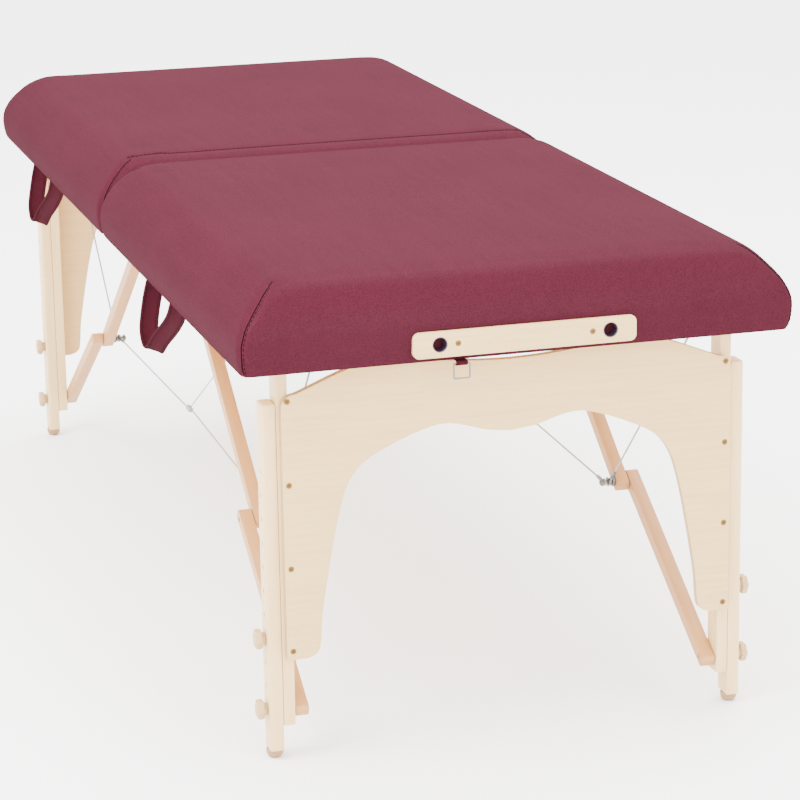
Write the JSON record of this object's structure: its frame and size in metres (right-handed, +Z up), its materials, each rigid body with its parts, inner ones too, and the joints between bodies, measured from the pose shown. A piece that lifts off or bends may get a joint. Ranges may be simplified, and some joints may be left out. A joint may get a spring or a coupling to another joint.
{
  "type": "portable massage table",
  "caption": "Folding wooden massage table with a vinyl padded top in two hinged halves, cable-braced folding leg frames with arched end panels, and height-adjustable legs.",
  "frame": {"origin": "on the floor under the middle of the open table", "axes": "X along the table with the face-cradle strip at +X, Y across it with the carrying handles on the -Y side, Z up"},
  "size_m": [1.8705, 0.766, 0.674],
  "materials": {
    "vinyl": "burgundy upholstery vinyl with a fine grain, satin",
    "foam": "cream upholstery foam, matte",
    "maple": "pale maple, clear satin lacquer",
    "brace_wood": "warmer maple, clear satin lacquer",
    "plywood": "maple-faced plywood, clear satin lacquer",
    "brass": "brass-plated screw heads, bright",
    "steel": "zinc-plated steel, bright",
    "cable": "white plastic coating on steel wire rope",
    "socket": "dark plastic socket liner",
    "knob_wood": "turned hardwood, clear lacquer",
    "foot": "tan moulded plastic"
  },
  "bodies": {
    "root": {"near_cover": "vinyl", "near_foam": "foam", "near_deck": "plywood", "near_frame": "maple", "near_hinge_leaf": "steel", "cradle_strip": "maple", "latch_tab": "vinyl", "near_left_stay_cable": "cable", "near_right_stay_cable": "cable"},
    "fold_pin": {"hinge_pin": "steel", "centre_cable": "cable"},
    "far_half": {"far_cover": "vinyl", "far_foam": "foam", "far_deck": "plywood", "far_frame": "maple", "far_hinge_leaf": "steel", "latch_stud": "steel", "far_left_stay_cable": "cable", "far_right_stay_cable": "cable"},
    "near_leg_frame": {"near_panel": "plywood", "near_left_inner_leg": "maple", "near_right_inner_leg": "maple"},
    "near_upper_braces": {"near_left_upper_brace": "brace_wood", "near_left_elbow_bolt": "steel", "near_right_upper_brace": "brace_wood", "near_right_elbow_bolt": "steel"},
    "near_lower_braces": {"near_left_lower_brace": "brace_wood", "near_right_lower_brace": "brace_wood"},
    "near_long_cables": {"near_left_long_cable": "cable", "near_right_long_cable": "cable"},
    "near_carry_handle": {"near_handle": "vinyl"},
    "near_left_extension": {"near_left_outer_leg": "maple", "near_left_foot": "foot"},
    "near_left_upper_clamp": {"near_left_upper_knob": "knob_wood"},
    "near_left_lower_clamp": {"near_left_lower_knob": "knob_wood"},
    "near_right_extension": {"near_right_outer_leg": "maple", "near_right_foot": "foot"},
    "near_right_upper_clamp": {"near_right_upper_knob": "knob_wood"},
    "near_right_lower_clamp": {"near_right_lower_knob": "knob_wood"},
    "far_leg_frame": {"far_panel": "plywood", "far_left_inner_leg": "maple", "far_right_inner_leg": "maple"},
    "far_upper_braces": {"far_left_upper_brace": "brace_wood", "far_left_elbow_bolt": "steel", "far_right_upper_brace": "brace_wood", "far_right_elbow_bolt": "steel"},
    "far_lower_braces": {"far_left_lower_brace": "brace_wood", "far_right_lower_brace": "brace_wood"},
    "far_long_cables": {"far_left_long_cable": "cable", "far_right_long_cable": "cable"},
    "far_carry_handle": {"far_handle": "vinyl"},
    "far_left_extension": {"far_left_outer_leg": "maple", "far_left_foot": "foot"},
    "far_left_upper_clamp": {"far_left_upper_knob": "knob_wood"},
    "far_left_lower_clamp": {"far_left_lower_knob": "knob_wood"},
    "far_right_extension": {"far_right_outer_leg": "maple", "far_right_foot": "foot"},
    "far_right_upper_clamp": {"far_right_upper_knob": "knob_wood"},
    "far_right_lower_clamp": {"far_right_lower_knob": "knob_wood"},
    "clasp_ring": {"latch_ring": "steel"}
  },
  "joints": [
    {"name": "fold_near", "type": "hinge", "parent": "root", "child": "fold_pin", "pos_m": [0, 0, 0.552], "axis": [0, -1, 0], "range_deg": [0, 90]},
    {"name": "fold_far", "type": "hinge", "parent": "fold_pin", "child": "far_half", "pos_m": [0, 0, 0.552], "axis": [0, -1, 0], "range_deg": [0, 90]},
    {"name": "near_leg_fold", "type": "hinge", "parent": "root", "child": "near_leg_frame", "pos_m": [0.843, 0, 0.585], "axis": [0, 1, 0], "range_deg": [0, 90], "deforming": ["near_left_stay_cable", "near_right_stay_cable"]},
    {"name": "near_upper_brace_swing", "type": "hinge", "parent": "root", "child": "near_upper_braces", "pos_m": [0.08, 0, 0.588], "axis": [0, 1, 0], "range_deg": [-37, 0]},
    {"name": "near_lower_brace_swing", "type": "hinge", "parent": "near_leg_frame", "child": "near_lower_braces", "pos_m": [0.843, 0, 0.0695], "axis": [0, 1, 0], "range_deg": [0, 59]},
    {"name": "near_long_cable_swing", "type": "hinge", "parent": "near_upper_braces", "child": "near_long_cables", "pos_m": [0.5555, 0, 0.247], "axis": [0, 1, 0], "range_deg": [0, 37]},
    {"name": "near_left_height", "type": "slide", "parent": "near_leg_frame", "child": "near_left_extension", "axis": [0, 0, 1], "range_m": [-0.201, 0]},
    {"name": "near_left_upper_knob_turn", "type": "hinge", "parent": "near_leg_frame", "child": "near_left_upper_clamp", "pos_m": [0.843, -0.341, 0.17], "axis": [0, -1, 0], "continuous": true},
    {"name": "near_left_lower_knob_turn", "type": "hinge", "parent": "near_leg_frame", "child": "near_left_lower_clamp", "pos_m": [0.843, -0.341, 0.0695], "axis": [0, -1, 0], "continuous": true},
    {"name": "near_right_height", "type": "slide", "parent": "near_leg_frame", "child": "near_right_extension", "axis": [0, 0, 1], "range_m": [-0.201, 0]},
    {"name": "near_right_upper_knob_turn", "type": "hinge", "parent": "near_leg_frame", "child": "near_right_upper_clamp", "pos_m": [0.843, 0.341, 0.17], "axis": [0, 1, 0], "continuous": true},
    {"name": "near_right_lower_knob_turn", "type": "hinge", "parent": "near_leg_frame", "child": "near_right_lower_clamp", "pos_m": [0.843, 0.341, 0.0695], "axis": [0, 1, 0], "continuous": true},
    {"name": "near_handle_swing", "type": "hinge", "parent": "root", "child": "near_carry_handle", "pos_m": [0.4215, -0.3832, 0.5553], "axis": [-1, 0, 0], "range_deg": [0, 90]},
    {"name": "far_leg_fold", "type": "hinge", "parent": "far_half", "child": "far_leg_frame", "pos_m": [-0.843, 0, 0.585], "axis": [0, -1, 0], "range_deg": [0, 90], "deforming": ["far_left_stay_cable", "far_right_stay_cable"]},
    {"name": "far_upper_brace_swing", "type": "hinge", "parent": "far_half", "child": "far_upper_braces", "pos_m": [-0.08, 0, 0.588], "axis": [0, -1, 0], "range_deg": [-37, 0]},
    {"name": "far_lower_brace_swing", "type": "hinge", "parent": "far_leg_frame", "child": "far_lower_braces", "pos_m": [-0.843, 0, 0.0695], "axis": [0, -1, 0], "range_deg": [0, 59]},
    {"name": "far_long_cable_swing", "type": "hinge", "parent": "far_upper_braces", "child": "far_long_cables", "pos_m": [-0.5555, 0, 0.247], "axis": [0, -1, 0], "range_deg": [0, 37]},
    {"name": "far_left_height", "type": "slide", "parent": "far_leg_frame", "child": "far_left_extension", "axis": [0, 0, 1], "range_m": [-0.201, 0]},
    {"name": "far_left_upper_knob_turn", "type": "hinge", "parent": "far_leg_frame", "child": "far_left_upper_clamp", "pos_m": [-0.843, -0.341, 0.17], "axis": [0, -1, 0], "continuous": true},
    {"name": "far_left_lower_knob_turn", "type": "hinge", "parent": "far_leg_frame", "child": "far_left_lower_clamp", "pos_m": [-0.843, -0.341, 0.0695], "axis": [0, -1, 0], "continuous": true},
    {"name": "far_right_height", "type": "slide", "parent": "far_leg_frame", "child": "far_right_extension", "axis": [0, 0, 1], "range_m": [-0.201, 0]},
    {"name": "far_right_upper_knob_turn", "type": "hinge", "parent": "far_leg_frame", "child": "far_right_upper_clamp", "pos_m": [-0.843, 0.341, 0.17], "axis": [0, 1, 0], "continuous": true},
    {"name": "far_right_lower_knob_turn", "type": "hinge", "parent": "far_leg_frame", "child": "far_right_lower_clamp", "pos_m": [-0.843, 0.341, 0.0695], "axis": [0, 1, 0], "continuous": true},
    {"name": "far_handle_swing", "type": "hinge", "parent": "far_half", "child": "far_carry_handle", "pos_m": [-0.531, -0.3832, 0.5553], "axis": [-1, 0, 0], "range_deg": [0, 90]},
    {"name": "latch_ring_swing", "type": "hinge", "parent": "root", "child": "clasp_ring", "pos_m": [0.9305, -0.087, 0.5512], "axis": [0, -1, 0], "range_deg": [0, 90]}
  ],
  "couplings": [
    {"joint": "near_upper_brace_swing", "follows": "near_leg_fold", "ratio": -0.41051},
    {"joint": "near_lower_brace_swing", "follows": "near_leg_fold", "ratio": 0.6172},
    {"joint": "near_long_cable_swing", "follows": "near_leg_fold", "ratio": 0.41051},
    {"joint": "far_upper_brace_swing", "follows": "far_leg_fold", "ratio": -0.41051},
    {"joint": "far_lower_brace_swing", "follows": "far_leg_fold", "ratio": 0.6172},
    {"joint": "far_long_cable_swing", "follows": "far_leg_fold", "ratio": 0.41051}
  ]
}
